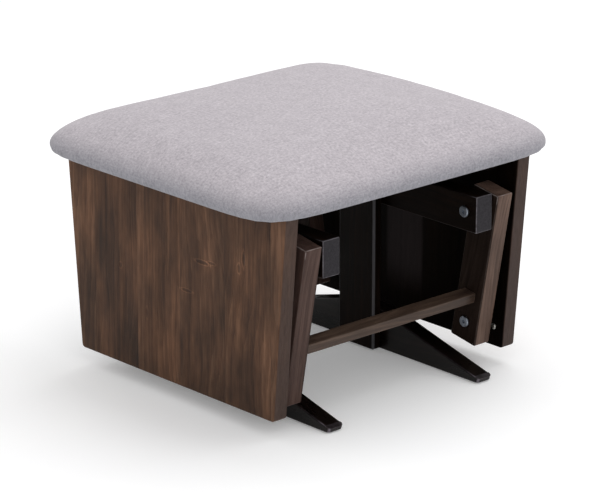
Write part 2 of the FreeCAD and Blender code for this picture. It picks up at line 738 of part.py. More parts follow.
cleat_screws = []
for i, y in enumerate((-cleat_screw_y, q(0), cleat_screw_y)):
    s = pan_screw("CleatScrew%d" % i, screw_dia, screw_head, screw_head_tall, cleat_thick + 12)
    place(s, panel_in - cleat_thick, y, cleat_screw_z)
    cleat_screws += [s, mirror_x(s, "CleatScrew%d_b" % i)]
group("CleatScrew_set", "cleat_screws", cleat_screws)

deck_screws = []
for i, y in enumerate((-deck_screw_far, -deck_screw_near, deck_screw_near, deck_screw_far)):
    s = pan_screw("DeckScrew%d" % i, screw_dia, screw_head, screw_head_tall, q(37))
    place(s, panel_in - cleat_thick / 2, y, cleat_low, V(0, 1, 0), -90)
    deck_screws += [s, mirror_x(s, "DeckScrew%d_b" % i)]
group("DeckScrew_set", "deck_screws", deck_screws)

brace = body("DeckBrace")
sk = sketch(brace, "DeckBrace_outline", "XY_Plane", brace_low)
bx = panel_in - cleat_thick
polygon(sk, [(-bx, -brace_wide / 2), (bx, -brace_wide / 2), (bx, brace_wide / 2), (-bx, brace_wide / 2)])
for sx in (-1, 1):
    circle(sk, (bx - 30) * sx, 0, screw_room)
p = pad(brace, sk, pad_low - side_gap - dust_thick - brace_low, "DeckBrace_board")
place(brace, 0, 0, 0)
# A shallow notch at each end clears the head of the middle cleat screw.
for i, sx in enumerate((-1, 1)):
    sk = sketch(brace, "DeckBrace_notch%d" % i, "YZ_Plane", bx * sx)
    circle(sk, 0, cleat_screw_z, screw_head + 1)
    pocket(brace, sk, screw_head_tall + 0.6, "DeckBrace_notch_cut%d" % i, back=(sx < 0))
keep(brace, "deck_brace")
brace_screw = pan_screw("BraceScrew", screw_dia, screw_head, screw_head_tall, q(33))
place(brace_screw, bx - 30, 0, brace_low, V(0, 1, 0), -90)
pair(brace_screw, "BraceScrew", "brace_screws")

deck = body("Deck")
sk = sketch(deck, "Deck_outline", "XY_Plane", deck_low)
round_rect(sk, deck_x, deck_y, deck_corner)
p = pad(deck, sk, deck_thick, "Deck_board")
sk = sketch(deck, "Deck_bores", "XY_Plane", deck_low)
for sx in (-1, 1):
    for sy in (-1, 1):
        for y in (deck_screw_near, deck_screw_far):
            circle(sk, (panel_in - cleat_thick / 2) * sx, y * sy, screw_room)
    circle(sk, (bx - 30) * sx, 0, screw_room)
pocket(deck, sk, 10, "Deck_pockets", back=True)
place(deck, 0, 0, 0)
keep(deck, "deck_board")

dust = body("DustCover")
sk = sketch(dust, "DustCover_outline", "XY_Plane", pad_low - side_gap - dust_thick)
polygon(sk, [(-bx, -dust_y), (bx, -dust_y), (bx, dust_y), (-bx, dust_y)])
for sx in (-1, 1):
    circle(sk, (bx - 30) * sx, 0, screw_room)
p = pad(dust, sk, dust_thick, "DustCover_sheet")
place(dust, 0, 0, 0)
keep(dust, "dust_cover")

staples = []
sz = pad_low - side_gap - dust_thick - staple_wire
for i in range(6):
    for sy, tag in ((-1, "f"), (1, "r")):
        s = doc.addObject("Part::Box", "Staple_%s%d" % (tag, i))
        s.Length, s.Width, s.Height = staple_wide.v, staple_wire.v, staple_wire.v
        s.setExpression("Length", staple_wide.s)
        s.setExpression("Width", staple_wire.s)
        s.setExpression("Height", staple_wire.s)
        place(s, q(-155 + 60 * i), (dust_y - 8) * sy, sz)
        staples.append(s)
group("Staple_set", "dust_cover_staples", staples)


def pad_loft(b, name, sections, cut=False):
    """Stacked rounded rectangles joined by ruled sides."""
    sks = []
    for i, (z, hx, hy, r) in enumerate(sections):
        sk = sketch(b, "%s_level%02d" % (name, i), "XY_Plane", z)
        round_rect(sk, hx, hy, r)
        sks.append(sk)
    doc.recompute()
    lo = b.newObject("PartDesign::SubtractiveLoft" if cut else "PartDesign::AdditiveLoft", name + "_loft")
    lo.Profile = sks[0]
    lo.Sections = sks[1:]
    lo.Ruled = True
    lo.Closed = False
    doc.recompute()
    return lo


# The cover is a closed skin around the foam and the deck board, turned under the board's
# edge all round and open in the middle of the underside.
cover = body("PadCover")
pad_loft(cover, "PadCover_out", outer)
full = cover.Shape.Volume
pad_loft(cover, "PadCover_in", inside, cut=True)
if not cover.Shape.Volume < 0.2 * full:
    raise RuntimeError("the cover isn't hollow")
sk = sketch(cover, "PadCover_opening", "XY_Plane", pad_low)
round_rect(sk, hem_x, hem_y, q(30))
pocket(cover, sk, pad_skin + 0.2, "PadCover_open", back=True)
sk = sketch(cover, "PadCover_bores", "XY_Plane", pad_low)
for sx in (-1, 1):
    for sy in (-1, 1):
        for y in (deck_screw_near, deck_screw_far):
            circle(sk, (panel_in - cleat_thick / 2) * sx, y * sy, screw_dia + 0.6)
pocket(cover, sk, pad_skin + 0.2, "PadCover_bore_cut", back=True)
place(cover, 0, 0, 0)
keep(cover, "pad_cover")

# The foam lies on the deck board and turns down round its edge.
foam = body("Foam")
pad_loft(foam, "Foam", filling)
sk = sketch(foam, "Foam_board_seat", "XY_Plane", deck_low + 0.3)
round_rect(sk, deck_x + 0.3, deck_y + 0.3, deck_corner)
pocket(foam, sk, deck_thick, "Foam_board_cut", back=True)
place(foam, 0, 0, 0)
keep(foam, "foam_pad")

# ---------------------------------------------------------------- check and write
doc.recompute()
bad = [o.Name for o in doc.Objects if "Invalid" in o.State or "Error" in o.State]
if bad:
    raise RuntimeError("failed objects: %s" % bad)
labels = [o.Label for o in exports]
if len(set(labels)) != len(labels):
    raise RuntimeError("two sub-parts share a label")
for o in exports:
    if o.Shape.isNull() or not o.Shape.isValid() or o.Shape.Volume <= 0:
        raise RuntimeError("bad shape: " + o.Label)
os.makedirs("parts", exist_ok=True)
for o in exports:
    o.Shape.exportStep("parts/%s.step" % o.Label)
    b = o.Shape.BoundBox
    print("%-22s %2d solids  x %.1f..%.1f  y %.1f..%.1f  z %.1f..%.1f" % (o.Label, len(o.Shape.Solids), b.XMin, b.XMax, b.YMin, b.YMax, b.ZMin, b.ZMax))
print(len(exports), "sub-parts written")
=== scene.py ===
import math
import random

import bmesh
import bpy
import numpy as np
from mathutils import Matrix, Vector


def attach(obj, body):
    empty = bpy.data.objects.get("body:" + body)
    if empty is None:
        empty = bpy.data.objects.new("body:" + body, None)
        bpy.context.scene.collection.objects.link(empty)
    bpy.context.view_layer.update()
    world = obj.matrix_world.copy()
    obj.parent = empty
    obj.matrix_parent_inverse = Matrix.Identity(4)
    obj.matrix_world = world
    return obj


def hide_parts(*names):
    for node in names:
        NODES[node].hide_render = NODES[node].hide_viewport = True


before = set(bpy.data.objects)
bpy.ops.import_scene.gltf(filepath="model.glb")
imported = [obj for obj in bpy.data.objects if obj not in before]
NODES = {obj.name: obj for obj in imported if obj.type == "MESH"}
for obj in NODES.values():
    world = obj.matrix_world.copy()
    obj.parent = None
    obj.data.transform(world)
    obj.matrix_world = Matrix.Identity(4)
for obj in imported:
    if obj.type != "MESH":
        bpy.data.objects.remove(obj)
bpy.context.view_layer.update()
scene = bpy.context.scene
random.seed(7)
scene.view_settings.view_transform = "Standard"
scene.view_settings.look = "None"
scene.view_settings.exposure = 0.0
scene.view_settings.gamma = 1.0


# ------------------------------------------------------------------ material helpers
def srgb(r, g, b):
    """Linear colour from 0..255 display values."""
    out = []
    for c in (r, g, b):
        c /= 255.0
        out.append(c / 12.92 if c <= 0.04045 else ((c + 0.055) / 1.055) ** 2.4)
    return (*out, 1.0)


class Mat:
    def __init__(self, name):
        self.m = bpy.data.materials.new(name)
        self.m.use_nodes = True
        self.t = self.m.node_tree
        self.t.nodes.clear()
        self.out = self.t.nodes.new("ShaderNodeOutputMaterial")
        self.b = self.t.nodes.new("ShaderNodeBsdfPrincipled")
        self.t.links.new(self.b.outputs[0], self.out.inputs[0])

    def put(self, socket, v):
        if isinstance(v, bpy.types.NodeSocket):
            self.t.links.new(v, socket)
        elif isinstance(v, (tuple, list)) and len(v) == 4 and socket.type == "VECTOR":
            socket.default_value = v[:3]
        else:
            socket.default_value = v

    def node(self, kind, ins=None, **props):
        n = self.t.nodes.new("ShaderNode" + kind)
        for k, v in props.items():
            setattr(n, k, v)
        for k, v in (ins or {}).items():
            self.put(n.inputs[k], v)
        return n

    def coord(self):
        return self.node("TexCoord").outputs["Object"]

    def mapping(self, vec, scale=(1, 1, 1), rot=(0, 0, 0), loc=(0, 0, 0)):
        return self.node("Mapping", {"Vector": vec, "Location": loc, "Rotation": rot, "Scale": scale}).outputs[0]

    def noise(self, vec, scale, detail=2.0, rough=0.5, dist=0.0):
        return self.node("TexNoise", {"Vector": vec, "Scale": scale, "Detail": detail, "Roughness": rough, "Distortion": dist}).outputs[0]

    def math(self, op, a, b=None, c=None, clamp=False):
        n = self.node("Math", operation=op, use_clamp=clamp)
        self.put(n.inputs[0], a)
        if b is not None:
            self.put(n.inputs[1], b)
        if c is not None:
            self.put(n.inputs[2], c)
        return n.outputs[0]

    def vmath(self, op, a, b=None, out=0):
        n = self.node("VectorMath", operation=op)
        self.put(n.inputs[0], a)
        if b is not None:
            self.put(n.inputs[1], b)
        return n.outputs[out]

    def remap(self, v, a, b, c=0.0, d=1.0, smooth=False):
        n = self.node("MapRange", {0: v, 1: a, 2: b, 3: c, 4: d})
        n.interpolation_type = "SMOOTHSTEP" if smooth else "LINEAR"
        return n.outputs[0]

    def ramp(self, fac, stops):
        n = self.node("ValToRGB", {"Fac": fac})
        r = n.color_ramp
        while len(r.elements) < len(stops):
            r.elements.new(0.5)
        for e, (p, c) in zip(r.elements, stops):
            e.position = p
            e.color = c if isinstance(c, tuple) else (c, c, c, 1)
        return n.outputs[0]

    def mix(self, fac, a, b, blend="MIX"):
        n = self.node("Mix", data_type="RGBA", blend_type=blend)
        self.put(n.inputs[0], fac)
        self.put(n.inputs[6], a)
        self.put(n.inputs[7], b)
        return n.outputs[2]

    def tint(self, col, v):
        """Colour times a number."""
        return self.vmath("MULTIPLY", col, self.node("CombineXYZ", {0: v, 1: v, 2: v}).outputs[0])

    def sep(self, vec):
        n = self.node("SeparateXYZ", {0: vec})
        return n.outputs[0], n.outputs[1], n.outputs[2]

    def bump(self, height, strength, distance, normal=None):
        ins = {"Height": height, "Strength": strength, "Distance": distance}
        if normal is not None:
            ins["Normal"] = normal
        return self.node("Bump", ins).outputs[0]

    def base(self, **kw):
        names = {
            "color": "Base Color",
            "rough": "Roughness",
            "metal": "Metallic",
            "normal": "Normal",
            "coat": "Coat Weight",
            "coat_rough": "Coat Roughness",
            "sheen": "Sheen Weight",
            "sheen_rough": "Sheen Roughness",
            "sheen_tint": "Sheen Tint",
            "ior": "IOR",
            "specular": "Specular IOR Level",
        }
        for k, v in kw.items():
            self.put(self.b.inputs[names[k]], v)
        return self.m


LEAN = math.atan2(32.9, 184.3)
GRAIN = {
    "Z": (0, 0, 0),
    "Y": (math.pi / 2, 0, 0),
    "X": (0, -math.pi / 2, 0),
    "front_link": (-LEAN, 0, 0),
    "rear_link": (LEAN, 0, 0),
}


def worn_and_highlit_edges(m, radius=0.0022, samples=4):
    """1 on an arris, 0 on a flat."""
    bev = m.node("Bevel", {"Radius": radius}, samples=samples).outputs[0]
    nrm = m.node("NewGeometry").outputs["Normal"]
    d = m.vmath("DOT_PRODUCT", bev, nrm, out=1)
    return m.remap(d, 0.985, 0.80, 0.0, 1.0)


def wood(
    name,
    along,
    seed,
    dark,
    mid,
    light,
    stave=0.0,
    across=1,
    rough=0.42,
    coat=0.0,
    coat_rough=0.3,
    blotch=0.28,
    ring=0.5,
    wear_and_highlight=0.35,
    wear_and_highlight_col=None,
    marks=(),
    specular=0.3,
    streaks=1.0,
    pore=0.35,
    inner_shade=None,
    ends=None,
    zone=None,
    edge_highlight=None,
    hem=None,
    arris=None,
):
    """Stained wood with its grain along one direction of the frame."""
    m = Mat(name)
    obj = m.coord()
    g = m.mapping(obj, rot=GRAIN[along])
    tone = 0.5
    shift = (seed * 1.137, seed * 0.713, seed * 2.191)
    if stave:
        # boards glued up from staves: each stave has its own tone and its own heart
        a = m.sep(g)[across]
        wob = m.noise(m.mapping(g, scale=(1, 1, 0.3), loc=shift), 3.0, 1.0)
        u = m.math("ADD", m.math("DIVIDE", a, stave), m.math("MULTIPLY_ADD", wob, 0.10, seed * 0.37))
        cell = m.math("FLOOR", u)
        rnd = m.node("TexWhiteNoise", {"W": m.math("ADD", cell, seed * 3.1)}, noise_dimensions="1D")
        tone = rnd.outputs["Value"]
        jump = m.vmath("MULTIPLY", rnd.outputs["Color"], (0.23, 0.31, 1.7))
        g = m.vmath("ADD", g, jump)
        edge = m.math("ABSOLUTE", m.math("SUBTRACT", m.math("FRACT", u), 0.5))
        joint = m.remap(edge, 0.5 - 0.0007 / stave, 0.5, 0.0, 1.0)
    g = m.vmath("ADD", g, shift)
    warp = m.noise(m.mapping(g, scale=(1, 1, 0.35)), 7.0, 2.0, 0.5)
    warp3 = m.vmath("MULTIPLY", m.node("CombineXYZ", {0: m.math("SUBTRACT", warp, 0.5), 1: m.math("SUBTRACT", warp, 0.5), 2: 0.0}).outputs[0], (0.05, 0.035, 0.0))
    gw = m.vmath("ADD", g, warp3)
    rings = m.node(
        "TexWave",
        {"Vector": m.mapping(gw, scale=(1, 1, 0.05)), "Scale": 42.0, "Distortion": 2.6, "Detail": 3.0, "Detail Scale": 2.4, "Detail Roughness": 0.6},
        wave_type="RINGS",
        rings_direction="Z",
        wave_profile="SAW",
    ).outputs["Fac"]
    fibre = m.noise(m.mapping(gw, scale=(1, 1, 0.035)), 520.0, 3.0, 0.6)
    streak = m.noise(m.mapping(gw, scale=(1, 1, 0.045)), 105.0, 4.0, 0.62, 0.3)
    band = m.noise(m.mapping(gw, scale=(1, 1, 0.11)), 22.0, 3.0, 0.55, 0.2)
    cloud = m.noise(m.mapping(g, scale=(1, 1, 0.55)), 9.0, 4.0, 0.62)
    blot = m.noise(m.mapping(g, scale=(1, 1, 0.4), loc=(4.1, 2.7, 1.3)), 26.0, 3.0, 0.6)
    f = m.math("MULTIPLY_ADD", m.math("SUBTRACT", streak, 0.5), 0.80 * streaks, 0.5)
    f = m.math("MULTIPLY_ADD", m.math("SUBTRACT", rings, 0.5), 0.30 * ring, f)
    f = m.math("MULTIPLY_ADD", m.math("SUBTRACT", band, 0.5), 0.62, f)
    f = m.math("MULTIPLY_ADD", m.math("SUBTRACT", fibre, 0.5), 0.45 * streaks, f)
    if stave:
        f = m.math("MULTIPLY_ADD", m.math("SUBTRACT", tone, 0.5), 0.24, f)
    col = m.ramp(f, [(0.12, dark), (0.5, mid), (0.9, light)])
    shade = m.remap(cloud, 0.32, 0.68, 1.0 - blotch, 1.0 + blotch * 0.55)
    col = m.tint(col, shade)
    col = m.tint(col, m.remap(blot, 0.34, 0.66, 1.0 - blotch * 0.6, 1.0 + blotch * 0.4))
    # open pores take up more stain
    pores = m.noise(m.mapping(gw, scale=(1, 1, 0.05)), 900.0, 2.0, 0.5)
    pores = m.remap(pores, 0.62, 0.74, 0.0, 1.0)
    col = m.tint(col, m.remap(pores, 0.0, 1.0, 1.0, 1.0 - pore))
    height = m.math("MULTIPLY_ADD", fibre, 0.55, m.math("MULTIPLY", streak, 0.6))
    height = m.math("MULTIPLY_ADD", pores, -0.7, height)
    if stave:
        col = m.tint(col, m.remap(joint, 0.0, 1.0, 1.0, 0.80))
        height = m.math("MULTIPLY_ADD", joint, -0.6, height)
    for (px, py, pz), (sx, sy, sz), amount in marks:
        # a dent or scar: an ellipse with a dark floor and a pale lip
        d = m.vmath("SUBTRACT", obj, (px, py, pz))
        d = m.vmath("DIVIDE", d, (sx, sy, sz))
        wobble = m.math("MULTIPLY_ADD", m.noise(obj, 240.0, 2.0), 0.8, 0.6)
        r = m.math("MULTIPLY", m.vmath("LENGTH", d, out=1), wobble)
        floor = m.remap(r, 0.55, 1.0, 1.0, 0.0, smooth=True)
        lip = m.math("MULTIPLY", m.remap(r, 0.9, 1.15, 0.0, 1.0, smooth=True), m.remap(r, 1.15, 1.6, 1.0, 0.0, smooth=True))
        col = m.tint(col, m.math("MULTIPLY_ADD", floor, -0.45 * amount, 1.0))
        col = m.tint(col, m.math("MULTIPLY_ADD", lip, 0.8 * amount, 1.0))
        height = m.math("MULTIPLY_ADD", floor, -2.2 * amount, height)
    if hem:
        # darker towards the floor
        z0, z1, amount = hem
        col = m.tint(col, m.remap(m.math("MULTIPLY_ADD", m.math("SUBTRACT", cloud, 0.5), 0.05, m.sep(obj)[2]), z0, z1, amount, 1.0, smooth=True))
    shine = specular
    if inner_shade:
        # painted shade: sides that face the middle of the ottoman, under the pad, are darkened and lose most of their
        # shine
        limit, amount = inner_shade
        ax = m.math("ABSOLUTE", m.sep(obj)[0])
        inner_shade_mul = m.remap(ax, limit, limit + 0.0012, amount, 1.0)
        shine = m.math("MULTIPLY", m.math("MAXIMUM", inner_shade_mul, 0.2), specular)
        # painted light: a greyer stave on the inner face is spared from the painted shade, and fades into painted
        # shadow at its lower end
        if zone:
            y0, y1, z0, lift = zone
            _, oy, oz = m.sep(obj)
            wob = m.math("MULTIPLY", m.math("SUBTRACT", warp, 0.5), 0.012)
            oy = m.math("ADD", oy, wob)
            zm = m.math("MULTIPLY", m.remap(oy, y0 - 0.003, y0 + 0.003, 0.0, 1.0), m.remap(oy, y1 - 0.003, y1 + 0.003, 1.0, 0.0))
            zm = m.math("MULTIPLY", zm, m.remap(oz, z0 - 0.03, z0 + 0.03, 0.0, 1.0, smooth=True))
            zm = m.math("MULTIPLY", zm, m.remap(ax, limit, limit + 0.0012, 1.0, 0.0))
            grey = m.tint(lift, m.remap(f, 0.1, 0.9, 0.75, 1.25))
            col = m.mix(zm, m.tint(col, inner_shade_mul), grey)
        else:
            col = m.tint(col, inner_shade_mul)
    if ends:
        axis, limit, end_col = ends[:3]
        ae = m.math("ABSOLUTE", m.sep(obj)[axis])
        if len(ends) > 3:
            slope, z0 = ends[3:]
            ae = m.math("SUBTRACT", ae, m.math("MULTIPLY", m.math("SUBTRACT", m.sep(obj)[2], z0), slope))
        em = m.remap(ae, limit - 0.0012, limit, 0.0, 1.0)
        grain = m.remap(m.noise(m.mapping(obj, scale=(1, 1, 0.12 if len(ends) > 3 else 1)), 420.0, 3.0, 0.7), 0.3, 0.7, 0.70, 1.25)
        col = m.mix(em, col, m.tint(end_col, grain))
    if edge_highlight:
        # painted highlight: a light streak on the inner arris of a narrow edge, where it catches the light
        y0, x0, edge_highlight_col = edge_highlight
        ox, oy, _ = m.sep(obj)
        edge_highlight_mask = m.math("MULTIPLY", m.remap(m.math("ABSOLUTE", oy), y0 - 0.0016, y0 - 0.0004, 0.0, 1.0), m.remap(m.math("ABSOLUTE", ox), x0, x0 + 0.0012, 1.0, 0.0))
        col = m.mix(edge_highlight_mask, col, m.tint(edge_highlight_col, m.remap(streak, 0.3, 0.7, 0.8, 1.2)))
    # light arrises: partly worn by rubbing, partly a painted highlight where the eased edges catch the light
    if wear_and_highlight:
        e = worn_and_highlit_edges(m)
        patch = m.remap(m.noise(obj, 60.0, 3.0, 0.6), 0.35, 0.62, 0.25, 1.0)
        col = m.mix(m.math("MULTIPLY", m.math("MULTIPLY", e, patch), wear_and_highlight, clamp=True), col, wear_and_highlight_col or light)
    if arris:
        # painted highlight: light on the eased arrises near the ends, where they catch the light
        amount, pale, axis, a0, a1 = arris
        nx, ny, nz = (m.math("ABSOLUTE", c) for c in m.sep(m.node("TexCoord").outputs["Normal"]))
        flat = m.math("MAXIMUM", m.math("MAXIMUM", nx, ny), nz)
        em = m.math("MULTIPLY", m.remap(flat, 0.94, 0.80, 0.0, amount), m.remap(m.math("ABSOLUTE", m.sep(obj)[axis]), a0, a1, 0.12, 1.0))
        em = m.math("MULTIPLY", em, m.remap(m.noise(obj, 90.0, 3.0, 0.6), 0.35, 0.60, 0.25, 1.0), clamp=True)
        col = m.mix(em, col, pale)
    r = m.math("MULTIPLY_ADD", m.math("SUBTRACT", streak, 0.5), 0.35, rough)
    r = m.math("MULTIPLY_ADD", m.math("SUBTRACT", cloud, 0.5), 0.30, r)
    r = m.math("MULTIPLY_ADD", pores, 0.12, r, clamp=True)
    return m.base(
        color=col,
        rough=r,
        normal=m.bump(height, 0.35, 0.0006),
        coat=coat,
        coat_rough=coat_rough,
        specular=shine,
    )


def steel(name, col=(0.56, 0.58, 0.61), rough=0.32, tarnish=0.5, metal=1.0):
    """Zinc-plated steel: fine speckle, dulled patches, slight unevenness."""
    m = Mat(name)
    obj = m.coord()
    speck = m.noise(obj, 2600.0, 3.0, 0.6)
    patch = m.noise(obj, 160.0, 3.0, 0.6)
    c = m.mix(m.remap(patch, 0.35, 0.7, 0.0, tarnish), (*col, 1), (col[0] * 0.62, col[1] * 0.60, col[2] * 0.56, 1))
    c = m.tint(c, m.remap(speck, 0.3, 0.7, 0.86, 1.10))
    r = m.math("MULTIPLY_ADD", m.math("SUBTRACT", patch, 0.5), 0.5, m.math("MULTIPLY_ADD", m.math("SUBTRACT", speck, 0.5), 0.22, rough), clamp=True)
    return m.base(color=c, rough=r, metal=metal, normal=m.bump(m.math("ADD", speck, m.math("MULTIPLY", patch, 2.0)), 0.25, 0.00015))


def plastic(name, col, rough=0.5, speckle=0.12):
    m = Mat(name)
    obj = m.coord()
    fine = m.noise(obj, 1800.0, 2.0, 0.5)
    soft = m.noise(obj, 90.0, 3.0, 0.6)
    c = m.tint(col, m.remap(fine, 0.3, 0.7, 1.0 - speckle, 1.0 + speckle))
    c = m.tint(c, m.remap(soft, 0.3, 0.7, 0.85, 1.12))
    r = m.math("MULTIPLY_ADD", m.math("SUBTRACT", soft, 0.5), 0.35, rough, clamp=True)
    return m.base(color=c, rough=r, normal=m.bump(fine, 0.3, 0.00012))


def weave_height(m, uv, pitch):
    """Plain weave of soft, uneven yarns: (height, warp mask, yarn-to-yarn tone)."""
    wob = m.noise(uv, 55.0, 2.0, 0.6)
    wob2 = m.noise(m.mapping(uv, loc=(3.1, 1.7, 0)), 55.0, 2.0, 0.6)
    u, v, _ = m.sep(uv)
    u = m.math("MULTIPLY_ADD", m.math("SUBTRACT", wob, 0.5), pitch * 1.1, u)
    v = m.math("MULTIPLY_ADD", m.math("SUBTRACT", wob2, 0.5), pitch * 1.1, v)
    k = math.pi / pitch
    su = m.math("SINE", m.math("MULTIPLY", u, k))
    sv = m.math("SINE", m.math("MULTIPLY", v, k))
    over = m.math("MULTIPLY", su, sv)
    warp = m.remap(over, -0.25, 0.25, 0.0, 1.0, smooth=True)
    bu = m.math("ABSOLUTE", su)
    bv = m.math("ABSOLUTE", sv)
    height = m.math("ADD", m.math("POWER", bu, 0.6), m.math("POWER", bv, 0.6))
    height = m.math("MULTIPLY", height, 0.5)
    cu = m.node("TexWhiteNoise", {"W": m.math("FLOOR", m.math("DIVIDE", u, pitch))}, noise_dimensions="1D").outputs["Value"]
    cv = m.node("TexWhiteNoise", {"W": m.math("ADD", m.math("FLOOR", m.math("DIVIDE", v, pitch)), 911.5)}, noise_dimensions="1D").outputs["Value"]
    yarn = m.math("ADD", m.math("MULTIPLY", cu, m.math("SUBTRACT", 1.0, warp)), m.math("MULTIPLY", cv, warp))
    return height, warp, yarn


def upholstery(name, light, dark, pitch=0.0014):
    """Heathered plain-weave upholstery cloth. The weave runs on the laid-out cloth."""
    m = Mat(name)
    uv = m.node("Attribute", attribute_name="cloth_uv").outputs["Vector"]
    obj = m.coord()
    height, warp, yarn = weave_height(m, uv, pitch)
    mottle = m.noise(uv, 240.0, 4.0, 0.72)
    patchy = m.noise(uv, 48.0, 3.0, 0.6)
    slub_u = m.noise(m.mapping(uv, scale=(0.10, 1, 1)), 430.0, 3.0, 0.6)
    slub_v = m.noise(m.mapping(uv, scale=(1, 0.10, 1), loc=(5.3, 2.2, 0)), 430.0, 3.0, 0.6)
    slub = m.math("ADD", m.math("MULTIPLY", slub_v, m.math("SUBTRACT", 1.0, warp)), m.math("MULTIPLY", slub_u, warp))
    soft = m.noise(obj, 14.0, 3.0, 0.5)
    f = m.math("MULTIPLY_ADD", m.math("SUBTRACT", mottle, 0.5), 2.2, 0.52)
    f = m.math("MULTIPLY_ADD", m.math("SUBTRACT", patchy, 0.5), 0.45, f)
    f = m.math("MULTIPLY_ADD", m.math("SUBTRACT", slub, 0.5), 1.0, f)
    f = m.math("MULTIPLY_ADD", m.math("SUBTRACT", yarn, 0.5), 0.12, f)
    f = m.math("MULTIPLY_ADD", m.math("SUBTRACT", warp, 0.5), 0.06, f)
    col = m.ramp(f, [(0.0, dark), (1.0, light)])
    # painted shade in the hollows between the yarns
    col = m.tint(col, m.remap(height, 0.25, 0.95, 0.91, 1.01))
    col = m.tint(col, m.remap(soft, 0.3, 0.7, 0.975, 1.02))
    # painted shade: the rim is darker and bluer where the cover turns under
    _, _, oz = m.sep(obj)
    oz = m.math("MULTIPLY_ADD", m.math("SUBTRACT", soft, 0.5), 0.006, oz)
    rim_shade = m.remap(oz, 0.330, 0.372, 1.0, 0.0, smooth=True)
    col = m.mix(rim_shade, col, m.vmath("MULTIPLY", col, (0.52, 0.56, 0.58)))
    fuzz = m.noise(uv, 2400.0, 2.0, 0.6)
    h = m.math("MULTIPLY_ADD", fuzz, 0.25, height)
    h = m.math("MULTIPLY_ADD", slub, 0.35, h)
    return m.base(
        color=col,
        rough=0.92,
        sheen=0.22,
        sheen_rough=0.45,
        sheen_tint=(1.0, 0.97, 0.98, 1.0),
        specular=0.25,
        normal=m.bump(h, 0.4, 0.0004),
    )


def felt(name, col, scale=900.0):
    """Pressed fibres: dust cover cloth and felt."""
    m = Mat(name)
    obj = m.coord()
    fib = m.noise(obj, scale, 4.0, 0.75, 1.5)
    spot = m.node("TexVoronoi", {"Vector": obj, "Scale": 420.0}, feature="F1").outputs["Distance"]
    c = m.tint(col, m.remap(fib, 0.3, 0.7, 0.6, 1.5))
    c = m.tint(c, m.remap(spot, 0.0, 0.5, 0.75, 1.1))
    return m.base(color=c, rough=0.95, sheen=0.1, specular=0.2, normal=m.bump(m.math("MULTIPLY_ADD", spot, 0.8, fib), 0.5, 0.0003))


# ------------------------------------------------------------------ tones
PANEL = (srgb(46, 28, 18), srgb(88, 61, 44), srgb(122, 91, 70))
PANEL_EDGE = srgb(64, 52, 48)
# a darker copy of the link tone: painted shade for the links that sit in shadow
LINK_SHADED = (srgb(44, 31, 28), srgb(76, 58, 52), srgb(104, 84, 77))
LINK = (srgb(60, 45, 39), srgb(98, 78, 68), srgb(130, 108, 95))
RAIL = (srgb(36, 26, 21), srgb(70, 55, 46), srgb(110, 90, 76))
FRAME = (srgb(7, 4, 2), srgb(18, 10, 6), srgb(36, 22, 14))
FOOT = (srgb(7, 4, 3), srgb(13, 8, 6), srgb(30, 19, 15))
INNER = (srgb(70, 50, 34), srgb(104, 78, 54), srgb(134, 108, 80))
# the bars' end faces: end-grain texture in a grey lightened by painted light from the front
END_GREY_LIT = srgb(50, 48, 51)
# the uprights' front arris gets a painted highlight in this grey
ARRIS_HIGHLIGHT_GREY = srgb(82, 80, 82)


def dress(node, mat):
    o = NODES[node]
    o.data.materials.clear()
    o.data.materials.append(mat)
    for p in o.data.polygons:
        p.material_index = 0


MARKS_LEFT = (
    ((-0.2375, -0.062, 0.226), (0.006, 0.013, 0.0030), 0.9),
    ((-0.2375, -0.082, 0.229), (0.006, 0.008, 0.0022), 0.6),
    ((-0.2375, -0.150, 0.252), (0.006, 0.003, 0.011), 0.8),
    ((-0.2375, -0.140, 0.236), (0.006, 0.003, 0.007), 0.7),
    ((-0.2375, -0.028, 0.176), (0.006, 0.011, 0.0024), 0.7),
    ((-0.2375, 0.118, 0.178), (0.006, 0.004, 0.004), 0.5),
    ((-0.2375, 0.060, 0.120), (0.006, 0.003, 0.008), 0.4),
)
MARKS_RIGHT = (((0.2375, 0.05, 0.21), (0.006, 0.011, 0.003), 0.8), ((0.2375, -0.11, 0.12), (0.006, 0.004, 0.006), 0.6))
panel_look = dict(stave=0.095, rough=0.52, coat=0.0, blotch=0.55, wear_and_highlight=0.30, wear_and_highlight_col=srgb(104, 86, 76), specular=0.12, hem=(0.03, 0.15, 0.70),
                  ends=(1, 0.2112, PANEL_EDGE, (0.2363 - 0.2110) / (0.3275 - 0.028), 0.028))
# painted shade darkens the panels' inner faces
dress("left_side_panel", wood("panel_left_wood", "Z", 3, *PANEL, marks=MARKS_LEFT, inner_shade=(0.2135, 0.09), **panel_look))
# the right panel's greyer inner stave is spared from the painted shade and ends in painted shadow
dress("right_side_panel", wood("panel_right_wood", "Z", 8, *PANEL, marks=MARKS_RIGHT, inner_shade=(0.2135, 0.06),
      zone=(-0.041, 0.035, 0.088, srgb(44, 38, 38)), **panel_look))
# painted shade darkens the links' inner sides, and a painted highlight lights their top-end arrises
link_look = dict(rough=0.46, coat=0.0, blotch=0.22, wear_and_highlight=0.5, wear_and_highlight_col=srgb(140, 122, 114), specular=0.10, inner_shade=(0.1722, 0.16),
                 arris=(0.8, srgb(150, 138, 134), 2, 0.262, 0.274))
# the near front link takes the darker copy as painted shade
for i, (n, tones) in enumerate((("front_right_link", LINK), ("front_left_link", LINK_SHADED))):
    dress(n, wood(n + "_wood", "front_link", 11 + i * 4, *tones, **link_look))
# the rear links take the darker copy as painted shade
for i, n in enumerate(("rear_right_link", "rear_left_link")):
    dress(n, wood(n + "_wood", "rear_link", 21 + i * 4, *LINK_SHADED, **link_look))
for i, n in enumerate(("front_link_rail", "rear_link_rail")):
    dress(n, wood(n + "_wood", "X", 31 + i * 3, *RAIL, rough=0.42, blotch=0.22, wear_and_highlight=0.4, wear_and_highlight_col=srgb(130, 112, 98), specular=0.2))
